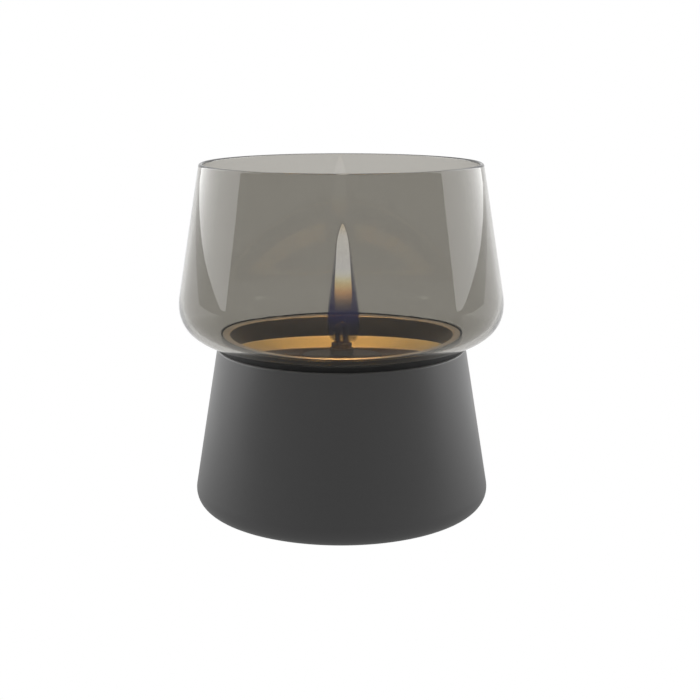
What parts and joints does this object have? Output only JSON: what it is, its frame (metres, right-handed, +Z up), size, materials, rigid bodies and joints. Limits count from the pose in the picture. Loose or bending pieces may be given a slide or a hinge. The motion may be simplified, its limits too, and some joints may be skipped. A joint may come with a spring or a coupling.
{
  "type": "table oil lamp with glass shade",
  "caption": "Refillable table lamp candle holder: smoked glass shade on a tapered lacquered body, with a lift-out steel burner and wick.",
  "frame": {"origin": "centre of the underside, on the surface that the lamp stands on", "axes": "+Z up along the lamp's axis of revolution; -Y is the front that the camera faces"},
  "size_m": [0.108, 0.108, 0.116],
  "materials": {
    "lacquer": "satin anthracite lacquer",
    "plate_steel": "plain sheet steel",
    "pad_rubber": "matt black foam rubber",
    "burner_steel": "turned satin stainless steel",
    "seal_rubber": "matt black silicone",
    "smoked_glass": "clear smoked glass, polished",
    "can_steel": "tinned sheet steel",
    "cap_steel": "dark turned steel",
    "nozzle_steel": "blackened steel",
    "fibre_washer": "pressed red fibre",
    "nut_steel": "zinc-plated steel",
    "wick_braid": "braided glass fibre, scorched at the loop"
  },
  "bodies": {
    "body": {"base_shell": "lacquer", "base_plate": "plate_steel", "foot_pad": "pad_rubber", "seat_ring": "burner_steel", "seat_gasket": "seal_rubber"},
    "shade": {"glass_shade": "smoked_glass"},
    "burner": {"fire_bowl": "burner_steel", "fuel_can": "can_steel", "can_bottom": "can_steel", "filler_neck": "can_steel"},
    "cap_seal": {"cap_gasket": "seal_rubber"},
    "plug_seal": {"plug_ring": "seal_rubber"},
    "cap": {"screw_cap": "cap_steel", "nozzle": "nozzle_steel", "nozzle_washer": "fibre_washer", "nozzle_nut": "nut_steel"},
    "wick": {"wick": "wick_braid", "wick_ferrule": "nut_steel"}
  },
  "joints": [
    {"name": "shade_lift", "type": "slide", "parent": "body", "child": "shade", "axis": [0, 0, 1], "range_m": [0, 0.07]},
    {"name": "burner_lift", "type": "slide", "parent": "body", "child": "burner", "axis": [0, 0, 1], "range_m": [0, 0.11]},
    {"name": "cap_pull", "type": "slide", "parent": "burner", "child": "cap_seal", "axis": [0, 0, 1], "range_m": [0, 0.05]},
    {"name": "cap_rise", "type": "slide", "parent": "cap_seal", "child": "plug_seal", "axis": [0, 0, 1], "range_m": [0, 0.003]},
    {"name": "cap_turn", "type": "hinge", "parent": "plug_seal", "child": "cap", "pos_m": [0, 0, 0], "axis": [0, 0, 1], "range_deg": [0, 720]},
    {"name": "wick_height", "type": "slide", "parent": "cap", "child": "wick", "axis": [0, 0, 1], "range_m": [-0.002, 0.003]}
  ],
  "couplings": [
    {"joint": "cap_rise", "follows": "cap_turn", "m_per_rad": 0.00023873}
  ]
}
